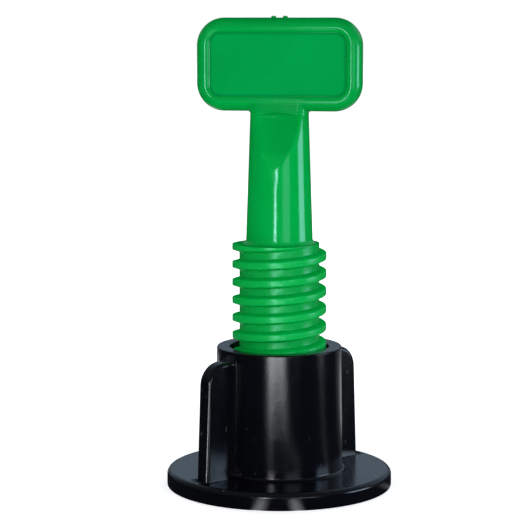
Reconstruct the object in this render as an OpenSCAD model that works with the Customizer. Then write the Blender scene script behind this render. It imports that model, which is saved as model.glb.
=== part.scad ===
// Reusable tile levelling screw: a T-handled plastic screw, the winged base nut that it turns in,
// and the steel T-pin that reaches down through the joint between two tiles.
// Millimetres. +Z runs up the screw, the origin is the centre of the base nut's underside, and the
// handle's panel faces -Y. The screw is drawn part way out of the nut, as it stands when not in use.

/* [Base nut] */
// Diameter of the round flange that presses on the tiles
flange_d = 38; // [36:0.5:44]
// Thickness of the flange
flange_t = 2.9; // [2.2:0.1:4]
// Radius of the flange's upper edge
flange_round = 0.9; // [0.3:0.1:1.5]
// Radius of the flange's lower edge
flange_under_round = 0.3; // [0.1:0.1:0.6]
// Height of the barrel's rim above the underside
base_h = 23.8; // [22:0.1:28]
// Outer diameter of the barrel at its rim
barrel_d = 21; // [20.4:0.1:24]
// How much wider the barrel is at its foot than at its rim
barrel_flare = 0.5; // [0:0.1:1.5]
// Radius of the fillet round the barrel's foot
foot_fillet = 0.4; // [0.2:0.1:1]
// Radius of the rim's outer edge
rim_round = 0.3; // [0.1:0.1:0.6]
// Diameter of the plain bore at each end of the nut's thread
mouth_d = 16.6; // [16.4:0.1:17.4]
// Depth of the plain bore at the rim
mouth_depth = 1.2; // [0.6:0.1:2]
// Depth of the plain bore at the underside
underside_depth = 2; // [1:0.1:4]

/* [Wings] */
// Distance from the axis to a wing's outer edge at its foot
wing_reach = 16.8; // [14:0.1:17.8]
// How far a wing's outer edge leans in from its foot to its top
wing_lean = 0.8; // [0:0.1:2]
// Thickness of a wing
wing_t = 2.8; // [2:0.1:4]
// How far a wing's top lies below the rim
wing_drop = 1.4; // [0.5:0.1:6]
// Radius of a wing's upper outer corner
wing_corner = 3.8; // [1:0.1:4.5]
// Angle from the handle's panel to the wings, in degrees
wing_angle = 50; // [0:1:180]

/* [Thread] */
// Rise of the screw in one turn
pitch = 3; // [2.6:0.05:3.6]
// Diameter over the screw thread's crests
thread_d = 15.8; // [15:0.1:16]
// Height of the thread's ridge above its root
ridge_h = 1.2; // [0.8:0.05:1.4]
// Width of the ridge at its root
ridge_root_w = 1.7; // [1.4:0.05:1.9]
// Width of the ridge at its crest
ridge_crest_w = 0.8; // [0.5:0.05:0.9]
// Play between the screw's thread and the nut's, on each side
thread_play = 0.25; // [0.15:0.05:0.3]
// Length of the screw's thread
thread_l = 22.8; // [20:0.1:26]
// Depth of the chamfer at the screw's lower end
lead_in = 1; // [0.5:0.1:1.5]
// Height of the screw's shoulder above the rim as drawn
shoulder_lift = 17.4; // [12:0.1:18]

/* [Shank] */
// Diameter of the shank at the shoulder
shank_d = 11.2; // [10:0.1:12]
// Diameter of the shank under the handle's paddle
neck_d = 9.7; // [8:0.1:10.5]
// Length of the shank from the shoulder to the paddle
shank_l = 22; // [16:0.5:30]
// Radius of the fillet at the shoulder
shoulder_fillet = 0.7; // [0.3:0.1:1]
// Thickness left between the two scoops at the top of the neck
waist_t = 4.2; // [3.4:0.1:5]
// Height of each scoop
scoop_l = 9.2; // [6:0.1:12]
// Radius of each scoop's hollow face
scoop_r = 45; // [30:1:90]
// How far the lip above each scoop hangs below the paddle
lip_h = 0.3; // [0.1:0.1:1]
// How far the lip's faces lie behind the rim's
lip_inset = 0.05; // [0.02:0.01:0.3]

/* [Paddle] */
// Width of the handle's paddle
paddle_w = 27.7; // [22:0.1:34]
// Height of the paddle
paddle_h = 15.4; // [12:0.1:20]
// Thickness of the paddle's rim
paddle_t = 5; // [4:0.1:6]
// Radius of the paddle's four corners
paddle_corner = 4.6; // [3:0.1:5.5]
// Rounding of the rim's outer edges
edge_round = 2.2; // [1:0.1:2.4]
// Width of the raised rim round the panel
rim_w = 2.7; // [2.4:0.1:4]
// Depth of the sunk panel on each side
panel_depth = 0.3; // [0.2:0.1:1.2]
// Radius of the panel's corners
panel_corner = 1.3; // [0.5:0.1:2.5]
// Diameter of the two moulding marks on the paddle's top edge
gate_d = 0.8; // [0.4:0.1:1.5]
// Distance between the two moulding marks
gate_gap = 2; // [1.2:0.1:5]
// Height of the moulding marks
gate_h = 0.3; // [0.1:0.1:0.6]

/* [Pin] */
// Diameter of the steel pin
pin_d = 1.5; // [1:0.1:2]
// Length of the crossbar at the pin's foot
bar_l = 9; // [6:0.1:12]
// Height of the crossbar
bar_h = 2; // [1.5:0.1:3]
// How far the pin's foot lies below the screw's lower end
pin_drop = 17; // [12:0.1:17.5]
// Length of pin held inside the screw
pin_hold = 30; // [20:0.5:40]
// Diameter of the pin's upset head
head_d = 3; // [2.4:0.1:4]
// Height of the pin's upset head
head_h = 1.2; // [0.8:0.1:2]
// Gap between the pin and the screw that carries it, all round
pin_play = 0.05; // [0.02:0.01:0.1]

/* [Hidden] */
steps = 40;          // facets of the thread in one turn
overlap = 0.5;       // how deep joined forms run into each other
$fn = 96;

root_r = thread_d / 2 - ridge_h;
crest_r = thread_d / 2;
shoulder_z = base_h + shoulder_lift;
screw_end_z = shoulder_z - thread_l;
paddle_z = shoulder_z + shank_l;
pin_foot_z = screw_end_z - pin_drop;
pin_top_z = screw_end_z + pin_hold;
// Height at which the middle of the ridge crosses the +X side, just under the shoulder
ridge_z = shoulder_z - 0.73 * pitch;
barrel_foot_r = (barrel_d + barrel_flare) / 2;

// Thread

// Half profile of the ridge, from its lower root to its upper root, as [radius, height] pairs.
// It is grown by play on every side to cut the nut's groove.
function ridge_outline(play) =
    let (
        shoulder_r = crest_r - 0.2 * ridge_h,
        shoulder_w = ridge_crest_w + 0.35 * (ridge_root_w - ridge_crest_w)
    )
    [
        [root_r + play, -ridge_root_w / 2 - play],
        [shoulder_r + play, -shoulder_w / 2 - play],
        [crest_r + play, -ridge_crest_w / 2 - play],
        [crest_r + play, ridge_crest_w / 2 + play],
        [shoulder_r + play, shoulder_w / 2 + play],
        [root_r + play, ridge_root_w / 2 + play]
    ];

// A right-handed threaded rod as one closed mesh. Its ends are helical and lie beyond z_low and z_high,
// so that whoever uses it cuts them flat.
module threaded_rod(outline, z_low, z_high) {
    size = len(outline);
    start_z = ridge_z + pitch * (floor((z_low - ridge_z) / pitch) - 1);
    turns = ceil((z_high - start_z) / pitch) + 1;
    count = turns * steps;
    low_hub = (count + 1) * size;
    high_hub = low_hub + 1;

    points = [
        for (i = [0 : count], p = outline)
            [p[0] * cos(360 * i / steps), p[0] * sin(360 * i / steps), start_z + pitch * i / steps + p[1]],
        [0, 0, start_z],
        [0, 0, start_z + pitch * turns]
    ];
    function at(i, j) = i * size + j;
    function band(a, b, c, d) = [[a, b, c], [a, c, d]];

    ridge_faces = [
        for (i = [0 : count - 1], j = [0 : size - 2])
            each band(at(i, j), at(i, j + 1), at(i + 1, j + 1), at(i + 1, j))
    ];
    root_faces = [
        for (i = [0 : count - steps - 1])
            each band(at(i, size - 1), at(i + steps, 0), at(i + steps + 1, 0), at(i + 1, size - 1))
    ];
    low_faces = [
        for (i = [0 : steps - 1]) [at(i, 0), at(i + 1, 0), low_hub],
        for (j = [0 : size - 2]) [at(0, j + 1), at(0, j), low_hub],
        [at(steps, 0), at(0, size - 1), low_hub]
    ];
    high_faces = [
        for (i = [count - steps : count - 1]) [at(i + 1, size - 1), at(i, size - 1), high_hub],
        for (j = [0 : size - 2]) [at(count, j), at(count, j + 1), high_hub],
        [at(count - steps, size - 1), at(count, 0), high_hub]
    ];
    polyhedron(points, concat(ridge_faces, root_faces, low_faces, high_faces), convexity = 10);
}

// Base nut

// Half section of flange and barrel, solid to the axis
module base_section() {
    flange_r = flange_d / 2;
    rim_r = barrel_d / 2;
    difference() {
        square([flange_r, flange_t]);
        translate([flange_r - flange_round, flange_t - flange_round]) corner_waste(flange_round);
        translate([flange_r - flange_under_round, flange_under_round]) mirror([0, 1])
            corner_waste(flange_under_round);
    }
    polygon([
        [0, 0],
        [barrel_foot_r, 0],
        [barrel_foot_r, flange_t],
        [rim_r, base_h - rim_round],
        [rim_r - rim_round, base_h],
        [0, base_h]
    ]);
    difference() {
        translate([barrel_foot_r - overlap, flange_t - overlap])
            square([overlap + foot_fillet, overlap + foot_fillet]);
        translate([barrel_foot_r + foot_fillet, flange_t + foot_fillet]) circle(foot_fillet);
    }
}

// What is left of a square corner outside a quarter round whose centre is the origin
module corner_waste(r) {
    difference() {
        square(r + overlap);
        circle(r);
    }
}

// One wing's outline, seen along the flange: upright at the barrel, leaning in at its outer edge
module wing_outline() {
    top_z = base_h - wing_drop;
    lean = atan(wing_lean / (top_z - flange_t));
    corner_z = top_z - wing_corner;
    corner_x = wing_reach - (corner_z - flange_t) * tan(lean) - wing_corner / cos(lean);
    edge = [corner_x + wing_corner * cos(lean), corner_z + wing_corner * sin(lean)];
    inner_x = barrel_d / 2 - overlap;
    polygon([
        [inner_x, flange_t - overlap],
        [wing_reach + overlap * tan(lean), flange_t - overlap],
        edge,
        [corner_x, corner_z],
        [corner_x, top_z],
        [inner_x, top_z]
    ]);
    intersection() {
        translate([corner_x, corner_z]) circle(wing_corner);
        translate([corner_x, corner_z]) square(2 * wing_corner);
    }
}

module wing() {
    translate([0, wing_t / 2, 0]) rotate([90, 0, 0]) linear_extrude(wing_t) wing_outline();
}

// The bore and the groove of the nut's thread
module nut_bore() {
    thread_low = underside_depth;
    thread_high = base_h - mouth_depth;
    intersection() {
        threaded_rod(ridge_outline(thread_play), thread_low, thread_high);
        translate([0, 0, thread_low - overlap])
            cylinder(r = mouth_d, h = thread_high - thread_low + 2 * overlap);
    }
    translate([0, 0, thread_high]) cylinder(d = mouth_d, h = mouth_depth + overlap);
    translate([0, 0, -overlap]) cylinder(d = mouth_d, h = thread_low + overlap);
}

module base_nut() {
    color([0.07, 0.08, 0.1]) difference() {
        union() {
            rotate_extrude() base_section();
            for (side = [0, 180]) rotate(wing_angle + side) wing();
        }
        nut_bore();
    }
}

// Handle screw

// The screw's threaded length, with a chamfered lower end
module screw_thread() {
    intersection() {
        threaded_rod(ridge_outline(0), screw_end_z, shoulder_z);
        rotate_extrude() polygon([
            [0, screw_end_z],
            [root_r - overlap, screw_end_z],
            [root_r - overlap + lead_in + ridge_h, screw_end_z + lead_in + ridge_h],
            [crest_r + overlap, shoulder_z],
            [0, shoulder_z]
        ]);
    }
}

// Tapered shank with the fillet that seats it on the shoulder, running up into the paddle
module shank() {
    rotate_extrude() {
        polygon([
            [0, shoulder_z - overlap],
            [shank_d / 2, shoulder_z - overlap],
            [shank_d / 2, shoulder_z],
            [neck_d / 2, paddle_z],
            [neck_d / 2, paddle_z + edge_round],
            [0, paddle_z + edge_round]
        ]);
        difference() {
            translate([shank_d / 2 - overlap, shoulder_z - overlap])
                square(overlap + shoulder_fillet);
            translate([shank_d / 2 + shoulder_fillet, shoulder_z + shoulder_fillet])
                circle(shoulder_fillet);
        }
    }
}

// A round tool lying across the shank, whose face passes from the top of the neck out to the
// shank's surface over the scoop's height
module scoop_tool() {
    low_z = paddle_z - scoop_l;
    low_y = neck_d / 2 + (shank_d - neck_d) / 2 * scoop_l / shank_l;
    high_y = waist_t / 2;
    chord = norm([low_y - high_y, scoop_l]);
    away = sqrt(scoop_r * scoop_r - chord * chord / 4);
    axis_y = (low_y + high_y) / 2 + away * scoop_l / chord;
    axis_z = (low_z + paddle_z) / 2 + away * (low_y - high_y) / chord;
    translate([-shank_d, -axis_y, axis_z]) rotate([0, 90, 0])
        cylinder(r = scoop_r, h = 2 * shank_d, $fn = 360);
}

// What the scoop on one side removes, up to the lip, and what lies in front of the lip above it
module scoop_waste() {
    lip_z = paddle_z - lip_h;
    lip_y = paddle_t / 2 - lip_inset;
    intersection() {
        scoop_tool();
        translate([-shank_d, -2 * shank_d, shoulder_z])
            cube([2 * shank_d, 2 * shank_d, lip_z - shoulder_z]);
    }
    translate([-shank_d, -shank_d - lip_y, lip_z])
        cube([2 * shank_d, shank_d, lip_h + 2 * edge_round]);
}

// The shank between its two scoops, and the lip that runs into the rim just short of its faces
module neck() {
    difference() {
        shank();
        for (side = [0, 1]) mirror([0, side, 0]) scoop_waste();
    }
}

// Section through the paddle, length long and paddle_t thick, with rounded edges
module paddle_section(length) {
    square([length - 2 * edge_round, paddle_t], center = true);
    square([length, paddle_t - 2 * edge_round], center = true);
    for (x = [-1, 1], y = [-1, 1])
        translate([x * (length / 2 - edge_round), y * (paddle_t / 2 - edge_round)]) circle(edge_round);
}

// Right half of that section, turned about the paddle's corner
module corner_section() {
    intersection() {
        paddle_section(2 * paddle_corner);
        translate([0, -paddle_t / 2]) square([paddle_corner, paddle_t]);
    }
}

// The sunk panel's outline
module panel_outline() {
    w = paddle_w - 2 * rim_w;
    h = paddle_h - 2 * rim_w;
    square([w - 2 * panel_corner, h], center = true);
    square([w, h - 2 * panel_corner], center = true);
    for (x = [-1, 1], y = [-1, 1])
        translate([x * (w / 2 - panel_corner), y * (h / 2 - panel_corner)]) circle(panel_corner);
}

// The paddle lying flat, centred on the origin
module flat_paddle() {
    straight_w = paddle_w - 2 * paddle_corner;
    straight_h = paddle_h - 2 * paddle_corner;
    difference() {
        union() {
            rotate([90, 0, 90]) linear_extrude(straight_w, center = true) paddle_section(paddle_h);
            rotate([90, 0, 0]) linear_extrude(straight_h, center = true) paddle_section(paddle_w);
            for (x = [-1, 1], y = [-1, 1])
                translate([x * straight_w / 2, y * straight_h / 2]) rotate_extrude() corner_section();
        }
        for (side = [0, 1]) mirror([0, 0, side])
            translate([0, 0, paddle_t / 2 - panel_depth]) linear_extrude(paddle_t) panel_outline();
    }
}

module paddle() {
    translate([0, 0, paddle_z + paddle_h / 2]) rotate([90, 0, 0]) flat_paddle();
    for (side = [-1, 1])
        translate([side * gate_gap / 2, 0, paddle_z + paddle_h - overlap])
            cylinder(d = gate_d, h = gate_h + overlap, $fn = 24);
}

// The hole that holds the pin and its head
module pin_socket() {
    translate([0, 0, screw_end_z - overlap])
        cylinder(d = pin_d + 2 * pin_play, h = pin_hold + overlap, $fn = 48);
    translate([0, 0, pin_top_z - head_h - pin_play])
        cylinder(d = head_d + 2 * pin_play, h = head_h + 2 * pin_play, $fn = 48);
}

module handle_screw() {
    color([0.0, 0.59, 0.25]) difference() {
        union() {
            screw_thread();
            neck();
            paddle();
        }
        pin_socket();
    }
}

// Tile pin

module tile_pin() {
    color([0.72, 0.73, 0.75]) {
        translate([0, 0, pin_foot_z + bar_h / 2]) cylinder(d = pin_d, h = pin_top_z - pin_foot_z - bar_h / 2);
        translate([0, 0, pin_top_z - head_h]) cylinder(d = head_d, h = head_h);
        translate([-bar_l / 2, -pin_d / 2, pin_foot_z]) cube([bar_l, pin_d, bar_h]);
    }
}

base_nut();
handle_screw();
tile_pin();
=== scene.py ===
"""Tile levelling screw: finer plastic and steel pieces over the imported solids, and the studio."""

import math

import bmesh
import bpy
import numpy as np
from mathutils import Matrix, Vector


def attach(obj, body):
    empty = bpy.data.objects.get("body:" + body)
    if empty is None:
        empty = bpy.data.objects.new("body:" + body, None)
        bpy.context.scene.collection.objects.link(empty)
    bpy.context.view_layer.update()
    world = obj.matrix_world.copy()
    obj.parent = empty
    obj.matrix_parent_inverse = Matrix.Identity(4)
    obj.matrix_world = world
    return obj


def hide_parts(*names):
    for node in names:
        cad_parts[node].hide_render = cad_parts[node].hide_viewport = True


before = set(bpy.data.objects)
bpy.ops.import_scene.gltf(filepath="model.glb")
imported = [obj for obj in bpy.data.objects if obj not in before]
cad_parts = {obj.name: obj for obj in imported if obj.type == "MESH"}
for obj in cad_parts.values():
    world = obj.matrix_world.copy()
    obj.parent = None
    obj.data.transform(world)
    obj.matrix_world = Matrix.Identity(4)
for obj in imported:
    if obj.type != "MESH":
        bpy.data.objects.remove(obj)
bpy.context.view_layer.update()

MM = 0.001
# Points round each ring, round the pin's and round a gate mark's
COLUMNS, PIN_COLUMNS, GATE_COLUMNS = 192, 40, 24
# Points nearer than this many metres become one
WELD = 2e-7

# Lengths below are in millimetres. They repeat the solid model's, but for the thread's ridge, the
# sunk panels, the scoops, the gate marks and two small fillets, which are nearer the photograph.

FLANGE_R, FLANGE_T = 19.0, 2.9
FLANGE_ROUND, FLANGE_UNDER_ROUND = 0.9, 0.3
BASE_H = 23.8
BARREL_R, BARREL_FOOT_R = 10.5, 10.75
FOOT_FILLET, RIM_ROUND = 0.45, 0.25
MOUTH_R, MOUTH_DEPTH, MOUTH_ROUND = 8.3, 1.2, 0.25
UNDERSIDE_DEPTH = 2.0
GROOVE_RINGS = 150

WING_REACH, WING_LEAN, WING_T = 16.8, 0.8, 2.8
WING_TOP, WING_CORNER, WING_EDGE = 22.4, 3.8, 0.7
WING_ANGLE = 50.0
WING_INNER, WING_FOOT = 9.4, 1.4

PITCH = 3.0
ROOT_R, CREST_R = 6.7, 7.9
RIDGE_ROOT_W, RIDGE_CREST_W = 1.8, 1.08
RIDGE_ROOT_ROUND, RIDGE_CREST_ROUND = 0.12, 0.2
THREAD_PLAY = 0.25
SHOULDER_Z, SCREW_END_Z = 41.2, 18.4
# Height of the ridge over the X axis
RIDGE_Z = SHOULDER_Z - 0.73 * PITCH
# Height of the cone at the screw's end, and how far under the root it starts
LEAD_IN, LEAD_IN_UNDER = 1.0, 0.2
# How far below and over the shoulder the middle of the ridge lies while the ridge fades out
RUN_OUT_LOW, RUN_OUT_HIGH = 0.1, 0.55
# Width of the narrow ring along the shoulder's edge, which keeps the edge's shading crisp
SHOULDER_EDGE = 0.14

SHANK_R, NECK_R = 5.6, 4.85
PADDLE_Z = 63.2
SHOULDER_FILLET = 0.7
# Heights between which each scoop sinks, and the radius of the fillet over it
SCOOP_START, SCOOP_END, SCOOP_END_ROUND = 53.6, 62.2, 0.9
# The scooped face's distance from the middle plane at its start, its slope, how softly the slope
# sets in, and the radius of its hollow
SCOOP_START_Y, SCOOP_SLOPE, SCOOP_EASE, SCOOP_HOLLOW_R = 5.2, 0.41, 0.9, 9.0
# The neck's half thickness below the paddle, and how much of it goes between two heights
NECK_FRONT, NECK_DRAW, NECK_DRAW_SPAN = 5.3, 2.75, (59.5, 62.9)
# Width of the rounding at the scoops' edges, and how much it grows between two heights
CREASE_WIDTH, CREASE_GROWTH, CREASE_SPAN = 0.12, 0.9, (56.4, 59.0)
# Height up to which the shank stays round
ROUND_TOP = 52.0
# Height from which the neck goes up inside the paddle, and how far behind the paddle's face
HIDDEN_Z, HIDDEN_INSET = 63.1, 0.03
# Fillet between the neck's sides and the paddle, and the cosines of azimuth where it sets in
NECK_FILLET, FILLET_SPAN = 0.5, (0.3, 0.8)
# The shank's rings start this far over its fillet; then the stretches' heights and ring counts
SHANK_START, SHANK_RINGS = 0.4, (53.0, 14)
SCOOP_RINGS, TOP_RINGS = (53.2, SCOOP_END, 56), (62.25, 65.2, 50)

PADDLE_W, PADDLE_H, PADDLE_T = 27.7, 15.4, 5.0
PADDLE_CORNER, EDGE_ROUND = 4.6, 2.2
CREST_INSET, RIM_W, INNER_SLOPE = 1.6, 2.9, 28.0
RIM_INNER_ROUND, RIM_FOOT_ROUND = 1.6, 0.3
# Sum of the radii of both bends between the rim's crest and the panel
BENDS_R = RIM_INNER_ROUND + RIM_FOOT_ROUND
PANEL_Y = PADDLE_T / 2 - BENDS_R * (1 - math.cos(math.radians(INNER_SLOPE)))
PANEL_INSET = CREST_INSET + BENDS_R * math.sin(math.radians(INNER_SLOPE))
PANEL_CORNER = 1.3
# Width of the flat strip round each panel's one large face
PANEL_STRIP = 0.5
# Points along each rounded corner and each straight side of the paddle's outlines
QUARTER_POINTS, SIDE_POINTS = 17, 14
# How far past a panel's edge and over its depth the centres of its faces may lie
PANEL_MARGIN, PANEL_MARGIN_Y = 0.4, 0.08
GATE_MARKS_X = -1.0, 0.95
GATE_R, GATE_H, GATE_SUNK, GATE_ROUND = 0.4, 0.28, 0.4, 0.16

PIN_R, PIN_FOOT_Z, PIN_TOP_Z = 0.75, 1.4, 48.4
PIN_PLAY = 0.05
HEAD_R, HEAD_H = 1.5, 1.2
WIRE_ROUND, HEAD_UNDER_ROUND, HEAD_ROUND = 0.1, 0.25, 0.35
# How far over the crossbar's foot the wire starts
WIRE_START = 0.6
BAR_L, BAR_H = 9.0, 2.0
BAR_CORNER, BAR_EDGE = 0.75, 0.3
# Radius at which a turned outline ends beside the axis
TIP_R = 0.05


# Outlines

def rounded(corners, steps=6):
    """The open line through (x, y, radius) corners, with each inner corner turned into an arc."""
    points = [np.array(corners[0][:2], float)]
    for before, corner, after in zip(corners, corners[1:], corners[2:]):
        here = np.array(corner[:2], float)
        radius = corner[2]
        if radius == 0:
            points.append(here)
            continue
        back = np.array(before[:2]) - here
        ahead = np.array(after[:2]) - here
        back /= np.linalg.norm(back)
        ahead /= np.linalg.norm(ahead)
        half = math.acos(np.clip(back @ ahead, -1, 1)) / 2
        bisector = (back + ahead) / np.linalg.norm(back + ahead)
        centre = here + bisector * radius / math.sin(half)
        start = here + back * radius / math.tan(half) - centre
        end = here + ahead * radius / math.tan(half) - centre
        for share in np.linspace(0, 1, steps + 1):
            spoke = start * (1 - share) + end * share
            points.append(centre + spoke * radius / np.linalg.norm(spoke))
    points.append(np.array(corners[-1][:2], float))
    return np.array(points)


def smooth_step(low, high, value):
    """0 up to low, 1 from high on, and smoothly between."""
    share = np.clip((value - low) / (high - low), 0, 1)
    return share * share * (3 - 2 * share)


def smooth_min(a, b, width):
    """The smaller of a and b, with the crease between them rounded over width."""
    share = np.clip(0.5 + 0.5 * (b - a) / width, 0, 1)
    return b * (1 - share) + a * share - width * share * (1 - share)


# Meshes

def make_object(name, points, faces, sharp_angle=32):
    """A mesh object from points in millimetres, welded, with outward normals and soft shading."""
    mesh = bpy.data.meshes.new(name)
    mesh.from_pydata([tuple(p) for p in np.asarray(points) * MM], [], faces)
    body = bmesh.new()
    body.from_mesh(mesh)
    bmesh.ops.remove_doubles(body, verts=body.verts, dist=WELD)
    bmesh.ops.dissolve_degenerate(body, edges=body.edges, dist=WELD)
    bmesh.ops.recalc_face_normals(body, faces=body.faces)
    body.to_mesh(mesh)
    body.free()
    mesh.shade_smooth()
    mesh.set_sharp_from_angle(angle=math.radians(sharp_angle))
    obj = bpy.data.objects.new(name, mesh)
    bpy.context.collection.objects.link(obj)
    return obj


def ring(radius, z, columns=COLUMNS):
    """A circle of points round the axis."""
    turn = np.arange(columns) * 2 * math.pi / columns
    return np.column_stack([radius * np.cos(turn), radius * np.sin(turn), np.full(columns, z)])


def bridge(rows, columns, loop=False):
    """Quads between each ring of columns points and the next one."""
    pairs = [(r, r + 1) for r in range(rows - 1)]
    if loop:
        pairs.append((rows - 1, 0))
    return [
        (
            low * columns + c,
            low * columns + (c + 1) % columns,
            high * columns + (c + 1) % columns,
            high * columns + c,
        )
        for low, high in pairs
        for c in range(columns)
    ]


def stacked(rings, cap_low=True):
    """Points and faces of a stack of rings, closed at the last and, if asked, at the first."""
    columns = len(rings[0])
    faces = bridge(len(rings), columns)
    if cap_low:
        faces.append(tuple(range(columns)))
    start = (len(rings) - 1) * columns
    faces.append(tuple(range(start, start + columns)))
    return np.concatenate(rings), faces


def plate_layers(half, edge, count):
    """(depth, inset) of the outlines across a plate of half the thickness, with rounded edges."""
    bend = np.linspace(0, math.pi / 2, count)[::-1]
    layers = [(-half + edge * (1 - math.sin(b)), edge * (1 - math.cos(b))) for b in bend]
    return layers + [(-depth, inset) for depth, inset in reversed(layers)]


def joined(*solids):
    """Points and faces of several solids as one list."""
    points, faces, start = [], [], 0
    for solid_points, solid_faces in solids:
        points.append(solid_points)
        faces += [tuple(i + start for i in face) for face in solid_faces]
        start += len(solid_points)
    return np.concatenate(points), faces


def fuse(target, *tools):
    """Unites the tools with the target and removes them."""
    for tool in tools:
        union = target.modifiers.new("union", "BOOLEAN")
        union.operation = "UNION"
        union.solver = "EXACT"
        union.object = tool
    evaluated = target.evaluated_get(bpy.context.evaluated_depsgraph_get())
    mesh = bpy.data.meshes.new_from_object(evaluated)
    target.modifiers.clear()
    target.data = mesh
    for tool in tools:
        bpy.data.objects.remove(tool)


# Thread

def ridge_line():
    """One pitch of the screw's thread from root to root, as (height, radius), ridge at height 0."""
    corners = [
        (-PITCH / 2, ROOT_R, 0),
        (-RIDGE_ROOT_W / 2, ROOT_R, RIDGE_ROOT_ROUND),
        (-RIDGE_CREST_W / 2, CREST_R, RIDGE_CREST_ROUND),
        (RIDGE_CREST_W / 2, CREST_R, RIDGE_CREST_ROUND),
        (RIDGE_ROOT_W / 2, ROOT_R, RIDGE_ROOT_ROUND),
        (PITCH / 2, ROOT_R, 0),
    ]
    return rounded(corners, steps=4)[:-1]


def cut_at(column, height, keep_above):
    """The column's points beyond a height move to where the column crosses it."""
    order = column if keep_above else column[::-1]
    beyond = order[:, 0] < height if keep_above else order[:, 0] > height
    last = np.nonzero(beyond)[0].max()
    a, b = order[last], order[last + 1]
    crossing = a + (b - a) * (height - a[0]) / (b[0] - a[0])
    order = order.copy()
    order[: last + 1] = crossing
    return order if keep_above else order[::-1]


def helix_columns(line, low, high):
    """Columns of (height, radius) round the screw, each cut at low and high."""
    # Each column starts below the lower cut and ends over the upper one
    turns = math.ceil((high - low) / PITCH) + 3
    start = RIDGE_Z + PITCH * (math.floor((low - RIDGE_Z) / PITCH) - 1)
    columns = []
    for c in range(COLUMNS):
        column = []
        for k in range(turns):
            middle = start + PITCH * (k + c / COLUMNS)
            left = 1 - smooth_step(high - RUN_OUT_LOW, high + RUN_OUT_HIGH, middle)
            ridge = line * [1, left] + [middle, ROOT_R * (1 - left)]
            column.append(ridge)
        columns.append(cut_at(cut_at(np.concatenate(column), low, True), high, False))
    return np.array(columns)


def screw_thread():
    """The thread's points and faces, and its lowest and highest rings."""
    line = ridge_line()
    columns = helix_columns(line, SCREW_END_Z, SHOULDER_Z)
    rows = columns.shape[1]
    height, radius = columns[..., 0], columns[..., 1]
    cone = (height - SCREW_END_Z) * (CREST_R - ROOT_R + LEAD_IN_UNDER) / LEAD_IN
    radius = np.minimum(radius, ROOT_R - LEAD_IN_UNDER + cone)
    turn = np.arange(COLUMNS)[:, None] * 2 * math.pi / COLUMNS
    points = np.stack([radius * np.cos(turn), radius * np.sin(turn), height], axis=2).reshape(-1, 3)
    faces = []
    for c in range(COLUMNS):
        last_column = c == COLUMNS - 1
        shift = len(line) if last_column else 0
        beside = 0 if last_column else c + 1
        for r in range(rows - 1):
            low, high = min(r + shift, rows - 1), min(r + 1 + shift, rows - 1)
            corners = [c * rows + r, beside * rows + low, beside * rows + high, c * rows + r + 1]
            faces.append(tuple(dict.fromkeys(corners)))
    low_ring = points[[c * rows for c in range(COLUMNS)]]
    high_ring = points[[c * rows + rows - 1 for c in range(COLUMNS)]]
    return points, [f for f in faces if len(f) > 2], low_ring, high_ring


# Handle screw

def bead_underside(y):
    """Height of the paddle's rounded lower edge over a point at depth y."""
    past_flat = np.clip(np.abs(y) - (PADDLE_T / 2 - EDGE_ROUND), 0, EDGE_ROUND)
    return PADDLE_Z + EDGE_ROUND - np.sqrt(EDGE_ROUND**2 - past_flat**2)


def scoop_depth(x, z):
    """Distance of the scooped face from the middle plane of the neck."""
    rise = min(max(z - SCOOP_START, 0), SCOOP_END - SCOOP_START)
    floor = SCOOP_START_Y - SCOOP_SLOPE * rise**2 / (rise + SCOOP_EASE)
    end = min(max((z - SCOOP_END) / SCOOP_END_ROUND, 0), 1)
    return floor + x**2 / (2 * SCOOP_HOLLOW_R) + SCOOP_END_ROUND * (1 - math.sqrt(1 - end**2))


def neck_ring(z):
    """The shank's outline at a height: round below, flattened by the scoops above."""
    turn = np.arange(COLUMNS) * 2 * math.pi / COLUMNS
    share = (z - SHOULDER_Z) / (PADDLE_Z - SHOULDER_Z)
    radius = SHANK_R + (NECK_R - SHANK_R) * min(share, 1)
    short = SHOULDER_FILLET - (z - SHOULDER_Z)
    if short > 0:
        radius += SHOULDER_FILLET - math.sqrt(SHOULDER_FILLET**2 - short**2)
    x, y = radius * np.cos(turn), radius * np.sin(turn)
    depth = np.abs(y)
    if z > ROUND_TOP:
        softness = CREASE_WIDTH + CREASE_GROWTH * smooth_step(*CREASE_SPAN, z)
        face = scoop_depth(x, z) if z < HIDDEN_Z else PADDLE_T / 2 - HIDDEN_INSET
        front = NECK_FRONT - NECK_DRAW * smooth_step(*NECK_DRAW_SPAN, z)
        depth = smooth_min(depth, np.minimum(face, front), softness)
    depth = np.clip(depth, 0, None)
    gap = np.clip(bead_underside(depth) - z, 0, NECK_FILLET)
    flare = NECK_FILLET - np.sqrt(NECK_FILLET**2 - (NECK_FILLET - gap) ** 2)
    x = x + np.sign(x) * flare * smooth_step(*FILLET_SPAN, np.abs(np.cos(turn)))
    return np.column_stack([x, np.sign(y) * depth, np.full(COLUMNS, z)])


def neck_levels():
    """Heights of the shank's rings, closer together where its outline changes faster."""
    fillet = SHOULDER_Z + SHOULDER_FILLET * (1 - np.cos(np.linspace(0, math.pi / 2, 8)))
    shank = np.linspace(fillet[-1] + SHANK_START, *SHANK_RINGS)
    return np.concatenate([fillet, shank, np.linspace(*SCOOP_RINGS), np.linspace(*TOP_RINGS)])


def pin_socket_rings():
    """The hole in the screw that holds the pin and its head, with play all round."""
    bore, head = PIN_R + PIN_PLAY, HEAD_R + PIN_PLAY
    head_z = PIN_TOP_Z - HEAD_H - PIN_PLAY
    return [
        ring(bore, SCREW_END_Z),
        ring(bore, head_z),
        ring(head, head_z),
        ring(head, PIN_TOP_Z + PIN_PLAY),
    ]


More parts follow.
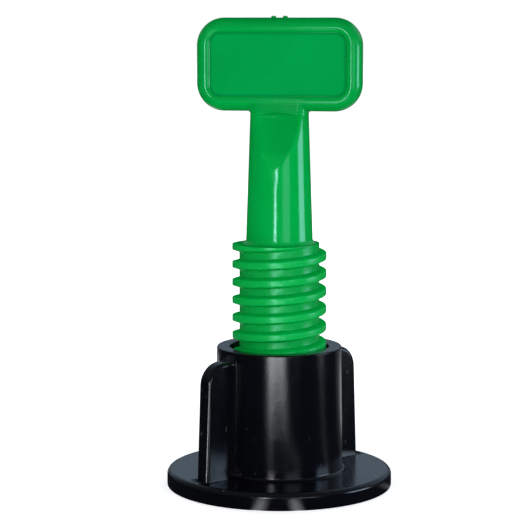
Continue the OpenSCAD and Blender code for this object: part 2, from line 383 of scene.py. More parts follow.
def threaded_shank():
    """Thread, shoulder, shank, neck and the pin's socket as one closed skin."""
    points, faces, low_ring, high_ring = screw_thread()
    inward = high_ring.copy()
    inward[:, :2] *= 1 - SHOULDER_EDGE / np.linalg.norm(high_ring[:, :2], axis=1)[:, None]
    upper = [high_ring, inward] + [neck_ring(z) for z in neck_levels()]
    upper_points, upper_faces = stacked(upper, cap_low=False)
    lower_points, lower_faces = stacked([low_ring, *pin_socket_rings()], cap_low=False)
    return joined((points, faces), (upper_points, upper_faces), (lower_points, lower_faces))


def paddle_outline(inset, corner):
    """Rounded rectangle round the paddle's centre, moved in by inset, as (x, z)."""
    half_w, half_h = PADDLE_W / 2 - inset, PADDLE_H / 2 - inset
    quarter = np.linspace(0, math.pi / 2, QUARTER_POINTS)
    points = []
    for quadrant, (sx, sz) in enumerate([(1, 1), (-1, 1), (-1, -1), (1, -1)]):
        centre = np.array([sx * (half_w - corner), sz * (half_h - corner)])
        turn = quarter + quadrant * math.pi / 2
        points += list(centre + corner * np.column_stack([np.cos(turn), np.sin(turn)]))
        across = half_w - corner if quadrant % 2 == 0 else half_h - corner
        side = np.linspace(1, -1, SIDE_POINTS)[1:-1] * across
        if quadrant % 2 == 0:
            points += [(sx * s, sz * half_h) for s in side]
        else:
            points += [(sx * half_w, sz * s) for s in side]
    return np.array(points)


def paddle_profile():
    """Half of the rim's section from the panel to the middle plane, as (inset, depth)."""
    turn = np.linspace(math.radians(INNER_SLOPE), 0, 12)
    inner = np.column_stack([
        CREST_INSET + RIM_INNER_ROUND * np.sin(turn),
        PADDLE_T / 2 - RIM_INNER_ROUND * (1 - np.cos(turn)),
    ])
    bend = np.linspace(0, math.radians(INNER_SLOPE), 5)[:-1]
    hollow = np.column_stack([
        PANEL_INSET - RIM_FOOT_ROUND * np.sin(bend),
        PANEL_Y + RIM_FOOT_ROUND * (1 - np.cos(bend)),
    ])
    turn = np.linspace(0, math.pi / 2, 18)[1:]
    outer = np.column_stack([
        CREST_INSET * (1 - np.sin(turn)),
        PADDLE_T / 2 - EDGE_ROUND * (1 - np.cos(turn)),
    ])
    return np.concatenate([[[PANEL_INSET + PANEL_STRIP, PANEL_Y]], hollow, inner, outer])


def paddle():
    """The paddle as a stack of rounded rectangles from one sunk panel to the other."""
    line = paddle_profile()
    both = np.concatenate([line * [1, -1], line[::-1]])
    rings = []
    for inset, depth in both:
        corner = PADDLE_CORNER + (PANEL_CORNER - PADDLE_CORNER) * min(inset / RIM_W, 1)
        flat = paddle_outline(inset, corner)
        rings.append(np.column_stack([
            flat[:, 0], np.full(len(flat), depth), flat[:, 1] + PADDLE_Z + PADDLE_H / 2
        ]))
    return stacked(rings)


def gate_mark(x):
    """A low worn stub where a runner was cut off."""
    top = PADDLE_Z + PADDLE_H
    corners = [
        (GATE_R + 0.02, top - GATE_SUNK, 0),
        (GATE_R, top + GATE_H, GATE_ROUND),
        (TIP_R, top + GATE_H, 0),
    ]
    line = rounded(corners, steps=3)
    rings = [ring(r, z, GATE_COLUMNS) + [x, 0, 0] for r, z in line]
    return stacked(rings)


def on_panel(place):
    """Whether a face with this centre belongs to a sunk panel."""
    x, y, z = place
    across = abs(x) < PADDLE_W / 2 - RIM_W + PANEL_MARGIN
    upright = abs(z - PADDLE_Z - PADDLE_H / 2) < PADDLE_H / 2 - RIM_W + PANEL_MARGIN
    return across and upright and abs(y) < PANEL_Y + PANEL_MARGIN_Y


def handle_screw():
    """The green moulding as one mesh, with the faces of its sunk panels in a slot of their own."""
    screw = make_object("screw_moulding", *threaded_shank())
    marks = [make_object("gate_mark", *gate_mark(x)) for x in GATE_MARKS_X]
    fuse(screw, make_object("paddle", *paddle()), *marks)
    for face in screw.data.polygons:
        face.material_index = int(on_panel(face.center / MM))
    return screw


# Base nut

def groove_radius(turn, z):
    """The nut's threaded wall, as deep as the screw's ridge needs with its play."""
    phase = (z - RIDGE_Z - PITCH * turn / (2 * math.pi) + PITCH / 2) % PITCH - PITCH / 2
    half_root = RIDGE_ROOT_W / 2 + THREAD_PLAY
    half_crest = RIDGE_CREST_W / 2 + THREAD_PLAY
    share = smooth_step(half_crest, half_root, np.abs(phase))
    return CREST_R + THREAD_PLAY - (CREST_R - ROOT_R) * share


def base_rings():
    """The nut's turned outline as rings, from the mouth outward and back up the threaded bore."""
    corners = [
        (MOUTH_R, BASE_H - MOUTH_DEPTH, 0),
        (MOUTH_R, BASE_H, MOUTH_ROUND),
        (BARREL_R, BASE_H, RIM_ROUND),
        (BARREL_FOOT_R, FLANGE_T, FOOT_FILLET),
        (FLANGE_R, FLANGE_T, FLANGE_ROUND),
        (FLANGE_R, 0, FLANGE_UNDER_ROUND),
        (MOUTH_R, 0, MOUTH_ROUND),
        (MOUTH_R, UNDERSIDE_DEPTH, 0),
    ]
    rings = [ring(r, z) for r, z in rounded(corners, steps=7)]
    turn = np.arange(COLUMNS) * 2 * math.pi / COLUMNS
    for z in np.linspace(UNDERSIDE_DEPTH, BASE_H - MOUTH_DEPTH, GROOVE_RINGS):
        radius = groove_radius(turn, z)
        x, y = radius * np.cos(turn), radius * np.sin(turn)
        rings.append(np.column_stack([x, y, np.full(COLUMNS, z)]))
    return rings


def wing(side):
    """One wing as a stack of outlines across its thickness, with rounded edges."""
    rings = []
    spin = math.radians(WING_ANGLE + side)
    for across, inset in plate_layers(WING_T / 2, WING_EDGE, 7):
        line = rounded(
            [
                (WING_INNER, WING_FOOT, 0),
                (WING_REACH - inset, WING_FOOT, 0),
                (WING_REACH - WING_LEAN - inset, WING_TOP - inset, WING_CORNER - inset),
                (WING_INNER, WING_TOP - inset, 0),
            ],
            steps=14,
        )
        x = line[:, 0] * math.cos(spin) - across * math.sin(spin)
        y = line[:, 0] * math.sin(spin) + across * math.cos(spin)
        rings.append(np.column_stack([x, y, line[:, 1]]))
    return stacked(rings)


def base_nut():
    """The black moulding as one mesh."""
    rings = base_rings()
    points = np.concatenate(rings)
    nut = make_object("nut_moulding", points, bridge(len(rings), COLUMNS, loop=True))
    wings = [make_object("wing", *wing(side)) for side in (0, 180)]
    fuse(nut, *wings)
    return nut


# Tile pin

def pin_wire():
    """The round wire from inside the crossbar up to its upset head."""
    foot, collar = PIN_FOOT_Z + WIRE_START, PIN_TOP_Z - HEAD_H
    corners = [
        (TIP_R, foot, 0),
        (PIN_R, foot, WIRE_ROUND),
        (PIN_R, collar, WIRE_ROUND),
        (HEAD_R, collar, HEAD_UNDER_ROUND),
        (HEAD_R, PIN_TOP_Z, HEAD_ROUND),
        (TIP_R, PIN_TOP_Z, 0),
    ]
    return stacked([ring(r, z, PIN_COLUMNS) for r, z in rounded(corners, steps=4)])


def crossbar():
    """The flattened bar at the pin's foot, with rounded ends and edges."""
    rings = []
    for y, inset in plate_layers(PIN_R, BAR_EDGE, 5):
        half_l, half_h = BAR_L / 2 - inset, BAR_H / 2 - inset
        corner = BAR_CORNER - inset
        line = []
        for quadrant, (sx, sz) in enumerate([(1, 1), (-1, 1), (-1, -1), (1, -1)]):
            for turn in np.linspace(0, math.pi / 2, 8) + quadrant * math.pi / 2:
                line.append((
                    sx * (half_l - corner) + corner * math.cos(turn),
                    y,
                    sz * (half_h - corner) + corner * math.sin(turn) + PIN_FOOT_Z + BAR_H / 2,
                ))
        rings.append(np.array(line))
    return stacked(rings)


def tile_pin():
    """The steel pin as one mesh."""
    pin = make_object("tile_pin_steel", *pin_wire())
    fuse(pin, make_object("crossbar", *crossbar()))
    return pin


# Materials

# Colours between which each material's clouds or lines change, and where in their noise
GREENS = (0.0, 0.4, 0.056), (0.0, 0.44, 0.068)
BLACKS = (0.0016, 0.0019, 0.003), (0.0024, 0.0028, 0.0046)
STEELS = (0.42, 0.43, 0.45), (0.58, 0.59, 0.6)
CLOUD_EDGES = 0.3, 0.7
BLACK_ROUGHNESS, STEEL_ROUGHNESS = (0.09, 0.16), (0.24, 0.4)

# Pairs are the two values, lengths in millimetres or shares, between which a look sets in or ends.
# How much rougher the green thread is than the shank, and where that ends
THREAD_SATIN, SATIN_Z = 0.16, (SHOULDER_Z, SHOULDER_Z + 1.0)
# Where the thread's tones and its matt upward faces end
THREAD_END_Z = SHOULDER_Z, SHOULDER_Z + 0.5
# How dark the painted shade in the thread's recess and how pale the painted light on its ridge is
# beside the shank, and at what radii
RECESS_PAINTED_SHADE, CREST_PAINTED_LIGHT, TONE_RADII = 0.94, 1.12, (ROOT_R + 0.1, CREST_R - 0.5)
# Where the shank's green turns into the paddle's darker painted shade
PADDLE_SHADE_Z = PADDLE_Z - 1, PADDLE_Z + 1
# How dark the painted shade in the scoops and in the fold round the sunk panels is
SCOOP_PAINTED_SHADE, FOLD_PAINTED_SHADE = 0.86, 0.74
# How far the fold's painted shade runs out into the panel, between two distances, and up the rim
FOLD_INNER, FOLD_OUTER = (0.5, 0.1), 0.4
# Share of the shine left on upward faces, on the thread and at the paddle's top
LEDGE_SHINE = 0.0
# Share of the shine left in the scoops and on the paddle's faces that turn down
SOFFIT_SHINE = 0.15
# Parts of the normal with which a face comes to count as turned up, down, away from the side, to
# the front or back, and as sloping down at a scoop's end
UP_FACING, DOWN_FACING, NOT_SIDE_FACING = (0.35, 0.8), (-0.008, -0.035), (0.4, 0.15)
FRONT_FACING, SLOPE_FACING = (0.8, 0.95), (-0.15, -0.4)
# Where upward faces come to count as the paddle's top, and downward ones as its underside
CROWN_Z, SOFFIT_Z = (PADDLE_Z + PADDLE_H - 2.2, PADDLE_Z + PADDLE_H - 1.2), (60.0, 61.0)
# Where the scoops' look begins: heights at their lower and upper ends, and distances from the
# axis to the side and to the front
SCOOP_LOW, SCOOP_HIGH = (55.0, 57.0), (65.0, 64.2)
SCOOP_X, SCOOP_Y = (5.4, 4.6), (4.7, 4.3)
# Small scuffs on the black plastic: values of their noise at which they begin, and their looks
SCUFF_NOISE = 0.74, 0.8
SCUFF_ROUGHNESS, SCUFF_COLOUR = 0.25, (0.05, 0.053, 0.06)


def mm(*lengths):
    """Lengths in millimetres as metres."""
    return tuple(length * MM for length in lengths)


class Nodes:
    """A short way to add and link shader nodes."""

    def __init__(self, tree):
        self.tree = tree
        tree.nodes.clear()

    def add(self, kind, inputs=(), **settings):
        node = self.tree.nodes.new(kind)
        for key, value in settings.items():
            setattr(node, key, value)
        for key, value in dict(inputs).items():
            if isinstance(value, bpy.types.NodeSocket):
                self.tree.links.new(value, node.inputs[key])
            else:
                node.inputs[key].default_value = value
        return node

    def position(self):
        return self.add("ShaderNodeTexCoord").outputs["Object"]

    def axes(self, vector):
        """The vector's parts, by the names X, Y and Z."""
        return self.add("ShaderNodeSeparateXYZ", {0: vector}).outputs

    def scalar(self, operation, *values):
        return self.add("ShaderNodeMath", dict(enumerate(values)), operation=operation).outputs[0]

    def product(self, a, b):
        return self.scalar("MULTIPLY", a, b)

    def vector(self, operation, *values, output="Vector"):
        node = self.add("ShaderNodeVectorMath", dict(enumerate(values)), operation=operation)
        return node.outputs[output]

    def length(self, vector):
        return self.vector("LENGTH", vector, output="Value")

    def scaled(self, vector, factor):
        node = self.add("ShaderNodeVectorMath", {0: vector, "Scale": factor}, operation="SCALE")
        return node.outputs[0]

    def mapped(self, coordinates, scale, rotation=(0.0, 0.0, 0.0)):
        node = self.add("ShaderNodeMapping", {
            "Vector": coordinates, "Rotation": rotation, "Scale": scale,
        })
        return node.outputs["Vector"]

    def spread(self, value, span, low=0.0, high=1.0, curve="LINEAR"):
        """From low to high as the value goes through the span."""
        node = self.add("ShaderNodeMapRange", {
            "Value": value, "From Min": span[0], "From Max": span[1], "To Min": low, "To Max": high,
        }, interpolation_type=curve)
        return node.outputs["Result"]

    def value(self, factor, low, high):
        """From low to high as the factor goes from 0 to 1."""
        return self.spread(factor, (0.0, 1.0), low, high)

    def step(self, value, span, low=0.0, high=1.0):
        """From low to high as the value goes through the span, smoothly at both ends."""
        return self.spread(value, span, low, high, "SMOOTHSTEP")

    def ramp(self, factor, stops):
        node = self.add("ShaderNodeValToRGB", {"Fac": factor})
        elements = node.color_ramp.elements
        while len(elements) < len(stops):
            elements.new(0.5)
        for element, (position, colour) in zip(elements, stops):
            element.position = position
            element.color = (*colour, 1)
        return node.outputs["Color"]

    def clouded(self, noise, colours):
        return self.ramp(noise, list(zip(CLOUD_EDGES, colours)))

    def noise(self, coordinates, per_mm, detail=3.0, roughness=0.5):
        node = self.add("ShaderNodeTexNoise", {
            "Vector": coordinates, "Scale": per_mm / MM, "Detail": detail, "Roughness": roughness,
        })
        return node.outputs["Fac"]

    def bump(self, height, distance_mm, below=None):
        inputs = {"Height": height, "Distance": distance_mm * MM}
        if below is not None:
            inputs["Normal"] = below
        return self.add("ShaderNodeBump", inputs).outputs["Normal"]

    def emission(self, colour, strength):
        node = self.add("ShaderNodeEmission", {"Color": (*colour, 1), "Strength": strength})
        return node.outputs[0]

    def diffuse(self, colour):
        return self.add("ShaderNodeBsdfDiffuse", {"Color": (*colour, 1)}).outputs[0]

    def both(self, a, b):
        return self.add("ShaderNodeAddShader", {0: a, 1: b}).outputs[0]

    def either(self, share, without, within):
        return self.add("ShaderNodeMixShader", {0: share, 1: without, 2: within}).outputs[0]


def new_material(name):
    material = bpy.data.materials.new(name)
    material.use_nodes = True
    return material, Nodes(material.node_tree)


def fold_shade_mask(nodes, place):
    """1 in the fold where the paddle's rim meets its sunk panels, at any depth, where shade is
    painted.
    """
    corner = PADDLE_CORNER + (PANEL_CORNER - PADDLE_CORNER) * PANEL_INSET / RIM_W
    half_w, half_h = mm(PADDLE_W / 2 - PANEL_INSET - corner, PADDLE_H / 2 - PANEL_INSET - corner)
    centre = 0.0, 0.0, (PADDLE_Z + PADDLE_H / 2) * MM
    folded = nodes.vector("ABSOLUTE", nodes.vector("SUBTRACT", place, centre))
    # A metre in the middle of the three keeps the depth out of the distance
    past = nodes.vector("SUBTRACT", folded, (half_w, 1.0, half_h))
    reach = nodes.length(nodes.vector("MAXIMUM", past, (0, 0, 0)))
    inner = nodes.step(reach, mm(*(corner - span for span in FOLD_INNER)))
    return nodes.product(inner, nodes.step(reach, mm(corner + FOLD_OUTER, corner)))


def scoop_mask(nodes, place, height, facing):
    """1 on the scooped faces of the neck, front and back, where shade is painted and the shine is
    less.
    """
    frontal = nodes.scalar("ABSOLUTE", facing["Y"])
    away = nodes.axes(nodes.vector("ABSOLUTE", place))
    flat = nodes.scalar(
        "MAXIMUM", nodes.step(frontal, FRONT_FACING), nodes.step(facing["Z"], SLOPE_FACING),
    )
    sunk = nodes.product(nodes.step(away["Y"], mm(*SCOOP_Y)), flat)
    neck = nodes.product(nodes.step(height, mm(*SCOOP_LOW)), nodes.step(height, mm(*SCOOP_HIGH)))
    return nodes.product(nodes.product(sunk, neck), nodes.step(away["X"], mm(*SCOOP_X)))


def shine_kept(nodes, height, facing, on_thread, scoop):
    """Share of the green plastic's shine that its matt places keep."""
    matt_top = nodes.scalar("MAXIMUM", on_thread, nodes.step(height, mm(*CROWN_Z)))
    ledge = nodes.product(nodes.step(facing["Z"], UP_FACING), matt_top)
    sideways = nodes.scalar("ABSOLUTE", facing["X"])
    turned_down = nodes.product(
        nodes.step(facing["Z"], DOWN_FACING), nodes.step(sideways, NOT_SIDE_FACING),
    )
    soffit = nodes.product(turned_down, nodes.step(height, mm(*SOFFIT_Z)))
    duller = nodes.scalar("MAXIMUM", soffit, scoop)
    return nodes.product(
        nodes.value(ledge, 1.0, LEDGE_SHINE), nodes.value(duller, 1.0, SOFFIT_SHINE),
    )


def painted_green_light_and_shade(nodes, place, height, on_thread, paddle_shade):
    """Painted light and shade: how pale the green is on the thread, by its depth, and on the paddle.
    """
    radius = nodes.length(nodes.mapped(place, scale=(1.0, 1.0, 0.0)))
    thread_light_and_shade = nodes.spread(radius, mm(*TONE_RADII), RECESS_PAINTED_SHADE, CREST_PAINTED_LIGHT)
    paddle_shading = nodes.spread(height, mm(*PADDLE_SHADE_Z), 1.0, paddle_shade)
    return nodes.add("ShaderNodeMix", {0: on_thread, 2: paddle_shading, 3: thread_light_and_shade}).outputs[0]


def green_plastic(name, grain_mm, roughness, shine, tint, paddle_shade):
    """Moulded green plastic, with its shine, grain and roughness as asked, and painted light and
    shade on the thread, scoops, panels' fold and paddle.
    """
    material, nodes = new_material(name)
    place = nodes.position()
    height = nodes.axes(place)["Z"]
    facing = nodes.axes(nodes.add("ShaderNodeTexCoord").outputs["Normal"])
    on_thread = nodes.spread(height, mm(*THREAD_END_Z), 1.0, 0.0)
    scoop = scoop_mask(nodes, place, height, facing)

    green = nodes.clouded(nodes.noise(place, per_mm=0.12, detail=2.0), GREENS)
    # Painted shade in the thread's recess, the scoops, the fold round the panels and on the paddle,
    # and painted light on the thread's ridge
    painted_tone = painted_green_light_and_shade(nodes, place, height, on_thread, paddle_shade)
    scoop_shaded = nodes.product(painted_tone, nodes.value(scoop, 1.0, SCOOP_PAINTED_SHADE))
    shade = nodes.product(scoop_shaded, nodes.value(fold_shade_mask(nodes, place), 1.0, FOLD_PAINTED_SHADE))

    patches = nodes.value(nodes.noise(place, per_mm=0.55, detail=4.0), *roughness)
    satin = nodes.spread(height, mm(*SATIN_Z), THREAD_SATIN, 0.0)
    swell = nodes.bump(nodes.noise(place, per_mm=0.22, detail=1.5), distance_mm=0.03)
    grain = nodes.noise(place, per_mm=2.6, detail=4.0, roughness=0.65)
    shader = nodes.add("ShaderNodeBsdfPrincipled", {
        "Base Color": nodes.scaled(green, shade),
        "Roughness": nodes.scalar("ADD", patches, satin),
        "IOR": 1.49,
        "Normal": nodes.bump(grain, distance_mm=grain_mm, below=swell),
        "Specular IOR Level": nodes.product(
            shine_kept(nodes, height, facing, on_thread, scoop), shine,
        ),
        "Specular Tint": (*tint, 1),
        "Subsurface Weight": 0.08,
        "Subsurface Radius": (0.0002, 0.0012, 0.0005),
        "Subsurface Scale": 1.0,
    })
    nodes.add("ShaderNodeOutputMaterial", {"Surface": shader.outputs["BSDF"]})
    return material


def black_plastic(name):
    """Glossy black plastic with a fine orange peel and a few scuffs."""
    material, nodes = new_material(name)
    place = nodes.position()
    black = nodes.clouded(nodes.noise(place, per_mm=0.1, detail=2.0), BLACKS)
    slanted = nodes.mapped(place, scale=(1.0, 1.0, 0.3), rotation=(0.3, 0.2, 0.0))
    scuff = nodes.step(nodes.noise(slanted, per_mm=1.5, detail=1.0), SCUFF_NOISE)
    worn = nodes.add("ShaderNodeMix", {
        0: scuff, 6: black, 7: (*SCUFF_COLOUR, 1),
    }, data_type="RGBA").outputs[2]
    patches = nodes.value(nodes.noise(place, per_mm=0.5, detail=5.0), *BLACK_ROUGHNESS)
    swell = nodes.bump(nodes.noise(place, per_mm=0.16, detail=1.5), distance_mm=0.05)
    coarse = nodes.noise(place, per_mm=3.2, detail=2.0, roughness=0.6)
    peel = nodes.bump(coarse, distance_mm=0.016, below=swell)
    fine = nodes.noise(place, per_mm=8.0, detail=1.0)
    shader = nodes.add("ShaderNodeBsdfPrincipled", {
        "Base Color": worn,
        "Roughness": nodes.scalar("ADD", patches, nodes.value(scuff, 0.0, SCUFF_ROUGHNESS)),
        "IOR": 1.5,
        "Normal": nodes.bump(fine, distance_mm=0.008, below=peel),
    })
    nodes.add("ShaderNodeOutputMaterial", {"Surface": shader.outputs["BSDF"]})
    return material


def steel(name):
    """Drawn steel with fine lines along the pin."""
    material, nodes = new_material(name)
    along = nodes.mapped(nodes.position(), scale=(1.0, 1.0, 0.05))
    lines = nodes.noise(along, per_mm=8.0, detail=4.0)
    shader = nodes.add("ShaderNodeBsdfPrincipled", {
        "Base Color": nodes.clouded(lines, STEELS),
        "Metallic": 1.0,
        "Roughness": nodes.value(lines, *STEEL_ROUGHNESS),
        "Normal": nodes.bump(lines, distance_mm=0.004),
    })
    nodes.add("ShaderNodeOutputMaterial", {"Surface": shader.outputs["BSDF"]})
    return material


# Studio

# Azimuth of the photograph's camera round the object; the studio's other azimuths count from it
CAMERA_AZIMUTH = 10.0
# The camera's distance from the axis and its height, in millimetres, and its tilt and how far its
# axis passes the object's, in degrees
CAMERA_DISTANCE, CAMERA_Z, CAMERA_TILT, CAMERA_OFF_AXIS = 316.7, 78.5, 7.33, 0.497
SENSOR_W, LENS = 36, 130.3

# Half of the floor's side, in metres
FLOOR_HALF = 3.0
# The floor's colour to the camera, in reflections, and to all other rays
FLOOR_COLOUR, TABLE_COLOUR, PALE_COLOUR = (0.85, 0.85, 0.85), (0.03, 0.034, 0.042), (0.4, 0.4, 0.4)
# The floor's own light to the camera beside the object, and the distances over which it turns white
FLOOR_LIFT, LIFT_SPAN = 0.66, (20, 110)
# Strength of the painted light that the white floor throws back up
BOUNCE = 0.3
GLOW_COLOUR = 0.96, 1, 1.04
# Half of the width over which the right strip's lane on the table is drawn, in millimetres
LANE_SPAN = 50

# The dim room's colours, by how far a direction turns to its palest part
ROOM = (0.45, (0.05, 0.056, 0.066)), (0.72, (0.11, 0.13, 0.16)), (0.9, (0.27, 0.35, 0.44))
# The light overhead, by the sine of elevation
SKY = (0.1, (0, 0, 0)), (0.45, (0.1, 0.105, 0.11))
# Where the dim room that reflections show is palest, as azimuth and elevation in degrees
PALE_ROOM = 160, 12
# Share of the room's light left below its horizon, and the horizon's lower and upper edge, as
# sines of elevation
LOW_ROOM, HORIZON = 0.15, (0.125, 0.16)


class Table:
    """Painted light seen in reflections: the dark table's glows, which stand for lamps and backdrop,
    by azimuth and distance.
    """

    def __init__(self, nodes):
        self.nodes = nodes
        place = nodes.position()
        self.radius = nodes.length(place)
        turned = nodes.add("ShaderNodeVectorRotate", {
            "Vector": place, "Angle": -math.radians(CAMERA_AZIMUTH),
        }, rotation_type="Z_AXIS").outputs[0]
        spot = nodes.axes(turned)
        angle = nodes.scalar("ARCTAN2", spot["X"], nodes.product(spot["Y"], -1.0))
        self.azimuth = nodes.spread(angle, (-math.pi, math.pi))
        self.across = nodes.spread(spot["X"], mm(-LANE_SPAN, LANE_SPAN))

    def around(self, *stops):
        """Brightness by azimuth in degrees, fading from stop to stop."""
        return self.nodes.ramp(self.azimuth, [((a + 180) / 360, (v, v, v)) for a, v in stops])

    def lane(self, *stops):
        """Brightness by the distance in millimetres to the camera's right."""
        places = [(0.5 + x / (2 * LANE_SPAN), (v, v, v)) for x, v in stops]
        return self.nodes.ramp(self.across, places)

    def outward(self, near, far, low, high):
        """From low to high between two distances from the axis in millimetres."""
        return self.nodes.step(self.radius, mm(near, far), low, high)

    def strips(self):
        """Near and far streaks under the two front strips, and two short ones by the flange."""
        nodes = self.nodes
        left = self.around((-19.5, 0), (-15.5, 1), (-13, 1), (-10, 0))
        right = nodes.product(
            self.lane((13, 0), (15.5, 1), (18.5, 1), (21, 0)),
            self.around((0, 0), (2, 1), (60, 1), (70, 0)),
        )
        near_left = nodes.product(self.outward(30, 36, 0, 0.3), left)
        near_right = nodes.product(self.outward(30, 36, 0, 0.45), right)
        far_left = nodes.product(self.outward(60, 130, 0, 4.8), left)
        far_right = nodes.product(self.outward(55, 115, 0, 4.4), right)
        by_flange = nodes.product(
            self.outward(24, 32, 3.2, 0),
            self.around((-15, 0), (-12, 1), (-10, 1), (-6, 0), (5, 0), (8.5, 1), (10, 1), (14, 0)),
        )
        return near_left, near_right, by_flange, nodes.scalar("MAXIMUM", far_left, far_right)

    def pools(self):
        """The bright pool in front, with a notch at its middle, and the paler one beyond it."""
        nodes = self.nodes
        notch = nodes.product(
            self.around((-11, 0), (-7, 1), (0, 1), (4, 0)), self.outward(118, 150, 0.75, 0),
        )
        near_ring = nodes.product(self.outward(102, 176, 0, 1.0), self.outward(192, 218, 14.0, 0))
        pool = nodes.product(near_ring, self.around((-24, 0), (-13, 1), (5, 1), (13, 0)))
        notched = nodes.product(pool, nodes.value(notch, 1.0, 0.0))
        far_ring = nodes.product(self.outward(150, 180, 0, 2.6), self.outward(340, 400, 1, 0))
        far_pool = nodes.product(far_ring, self.around((-17, 0), (-12, 1), (3, 0.9), (9, 0)))
        return nodes.scalar("MAXIMUM", notched, far_pool)

    def beside(self):
        """The glow under the strip at the side."""
        side = self.around((75, 0), (79, 1), (84, 1), (88, 0))
        return self.nodes.product(self.outward(150, 200, 0.17, 1.6), side)

    def behind(self):
        """The backdrop's faint glow, and the streaks at the back."""
        nodes = self.nodes
        near = nodes.product(self.outward(30, 100, 0.05, 0.2), self.outward(150, 185, 1, 0))
        back = self.around((120, 0), (134, 1), (165, 1), (175, 0.5), (179, 0))
        back_ring = nodes.product(self.outward(35, 60, 0, 1.8), self.outward(110, 135, 1, 0))
        streaks = self.around(
            (-160, 0), (-155, 1), (-148, 1), (-140, 0), (138, 0), (146, 0.25), (152, 0.25), (158, 0),
        )
        return nodes.product(near, back), nodes.product(back_ring, streaks)

    def glow(self):
        """All glows together as light."""
        near_left, near_right, by_flange, far = self.strips()
        front = self.nodes.scalar("MAXIMUM", far, self.pools())
        total, back_streaks = self.behind()
        for part in (near_left, near_right, by_flange, front, self.beside(), back_streaks):
            total = self.nodes.scalar("ADD", total, part)
        return self.nodes.emission(GLOW_COLOUR, total)


def floor_material():
    """White to the camera, a dark table with soft painted glows in reflections, and pale otherwise.
    """
    material, nodes = new_material("floor")
    radius = nodes.length(nodes.position())
    lift = nodes.emission((1, 1, 1), nodes.step(radius, mm(*LIFT_SPAN), FLOOR_LIFT, 1.0))
    seen = nodes.both(nodes.diffuse(FLOOR_COLOUR), lift)
    bounce = nodes.both(nodes.diffuse(PALE_COLOUR), nodes.emission((1, 1, 1), BOUNCE))
    mirrored = nodes.both(nodes.diffuse(TABLE_COLOUR), Table(nodes).glow())
    path = nodes.add("ShaderNodeLightPath").outputs
    unseen = nodes.either(path["Is Glossy Ray"], bounce, mirrored)
    surface = nodes.either(path["Is Camera Ray"], unseen, seen)
    nodes.add("ShaderNodeOutputMaterial", {"Surface": surface})
    return material


def make_floor():
    mesh = bpy.data.meshes.new("floor")
    corners = [(x * FLOOR_HALF, y * FLOOR_HALF, 0) for x, y in ((-1, -1), (1, -1), (1, 1), (-1, 1))]
    mesh.from_pydata(corners, [], [(0, 1, 2, 3)])
    mesh.materials.append(floor_material())
    floor = bpy.data.objects.new("floor", mesh)
    bpy.context.collection.objects.link(floor)


def toward(azimuth, elevation=0.0):
    """Unit vector from the object to an azimuth from its front and an elevation, in degrees."""
    a, e = math.radians(azimuth), math.radians(elevation)
    return Vector((math.sin(a) * math.cos(e), -math.cos(a) * math.cos(e), math.sin(e)))


def make_world():
    """White to the camera, and otherwise a dim room that is paler behind the object."""
    world = bpy.data.worlds.new("studio")
    world.use_nodes = True
    nodes = Nodes(world.node_tree)
    direction = nodes.add("ShaderNodeTexCoord").outputs["Generated"]
    azimuth, elevation = PALE_ROOM
    pale = tuple(toward(CAMERA_AZIMUTH + azimuth, elevation))
    facing = nodes.vector("DOT_PRODUCT", direction, pale, output="Value")
    room = nodes.ramp(nodes.spread(facing, (-1, 1)), ROOM)
    height = nodes.axes(direction)["Z"]
    high_room = nodes.scaled(room, nodes.step(height, HORIZON, LOW_ROOM, 1.0))
    light = nodes.vector("MAXIMUM", high_room, nodes.ramp(height, SKY))
    dim = nodes.add("ShaderNodeBackground", {"Color": light, "Strength": 1.0})
    white = nodes.add("ShaderNodeBackground", {"Color": (1, 1, 1, 1), "Strength": 1.0})
    camera_ray = nodes.add("ShaderNodeLightPath").outputs["Is Camera Ray"]
    surface = nodes.either(camera_ray, dim.outputs[0], white.outputs[0])
    nodes.add("ShaderNodeOutputWorld", {"Surface": surface})
    bpy.context.scene.world = world


def add_lamp(name, azimuth, elevation, distance, size, radiance,
             aim_z=0.04, mirrored=True, colour=(1, 1, 1)):
    """A rectangular lamp facing the axis, by azimuth from the camera's; degrees and metres."""
    lamp = bpy.data.lights.new(name, "AREA")
    lamp.shape = "RECTANGLE"
    lamp.size, lamp.size_y = size
    lamp.color = colour
    lamp.energy = radiance * math.pi * size[0] * size[1]
    obj = bpy.data.objects.new(name, lamp)
    aim = Vector((0, 0, aim_z))
    obj.location = aim + toward(CAMERA_AZIMUTH + azimuth, elevation) * distance
    obj.rotation_mode = "QUATERNION"
    obj.rotation_quaternion = (aim - obj.location).to_track_quat("-Z", "Y")
    obj.visible_camera = False
    obj.visible_glossy = mirrored
    bpy.context.collection.objects.link(obj)


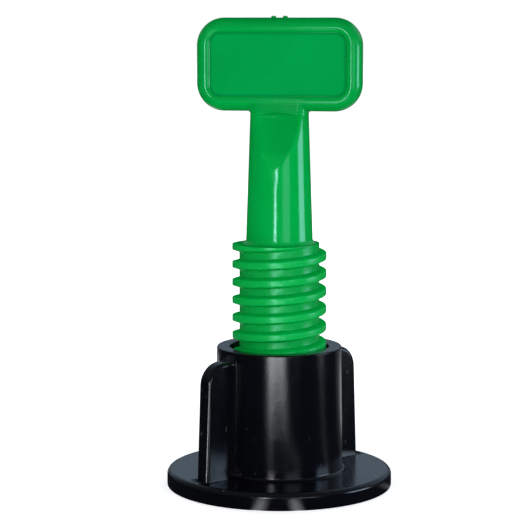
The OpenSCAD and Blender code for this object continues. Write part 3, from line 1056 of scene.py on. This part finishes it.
def make_lamps():
    """Five strips, which the plastics mirror, and four soft boxes, which they don't."""
    add_lamp("left_strip", -14.5, 0, 0.38, (0.03, 0.13), 18.0)
    add_lamp("left_low_strip", -16, 0, 0.38, (0.076, 0.038), 4.8, aim_z=0.007)
    add_lamp("right_strip", 24, 0, 0.38, (0.17, 0.13), 1.6, colour=(0.9, 1, 1.15))
    add_lamp("side_strip", 86, 0, 0.38, (0.17, 0.1), 4.6, aim_z=0.033, colour=(0.8, 1, 1.2))
    add_lamp("side_high_strip", 76.7, 9.4, 0.385, (0.044, 0.042), 4.6, colour=(0.65, 1, 1.5))
    add_lamp("front_right_box", 42, 15, 0.55, (0.4, 0.18), 5.3,
             mirrored=False, colour=(0.94, 1, 1.1))
    add_lamp("front_left_box", -50, 15, 0.55, (0.4, 0.18), 4.2, mirrored=False)
    add_lamp("back_left_box", -140, 30, 0.6, (0.4, 0.3), 2.2, mirrored=False)
    add_lamp("back_right_box", 145, 30, 0.6, (0.4, 0.3), 2.2, mirrored=False)


def make_camera():
    """The photograph's camera, fitted to the outlines of flange, rim, thread and paddle."""
    camera = bpy.data.cameras.new("camera")
    camera.sensor_width = SENSOR_W
    camera.lens = LENS
    obj = bpy.data.objects.new("camera", camera)
    place = toward(CAMERA_AZIMUTH) * CAMERA_DISTANCE * MM
    obj.location = (place.x, place.y, CAMERA_Z * MM)
    heading = CAMERA_AZIMUTH + CAMERA_OFF_AXIS
    obj.rotation_euler = (math.radians(90 - CAMERA_TILT), 0, math.radians(heading))
    bpy.context.collection.objects.link(obj)
    bpy.context.scene.camera = obj


def dress(piece, body, node, slot, *materials):
    """Paints a piece, hangs it on its body and lets it stand for its solid."""
    normals = piece.modifiers.new("flat faces stay flat", "WEIGHTED_NORMAL")
    normals.keep_sharp = True
    for material in materials:
        piece.data.materials.append(material)
    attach(piece, body)
    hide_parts(node)


def main():
    make_camera()
    make_world()
    make_floor()
    make_lamps()
    # Each green's value for the paddle is painted shade that darkens the paddle
    moulded = green_plastic(
        "moulded_green", grain_mm=0.008, roughness=(0.09, 0.14), shine=0.5,
        tint=(0.5, 0.9, 1.0), paddle_shade=0.88,
    )
    grained = green_plastic(
        "grained_green", grain_mm=0.02, roughness=(0.46, 0.56), shine=0.22,
        tint=(0.05, 0.8, 1.0), paddle_shade=0.8,
    )
    dress(base_nut(), "base", "base_nut", "black_plastic", black_plastic("moulded_black"))
    dress(handle_screw(), "screw", "handle_screw", "green_plastic", moulded, grained)
    dress(tile_pin(), "pin", "tile_pin", "steel_pin", steel("drawn_steel"))
    bpy.context.scene.view_settings.view_transform = "Standard"


main()
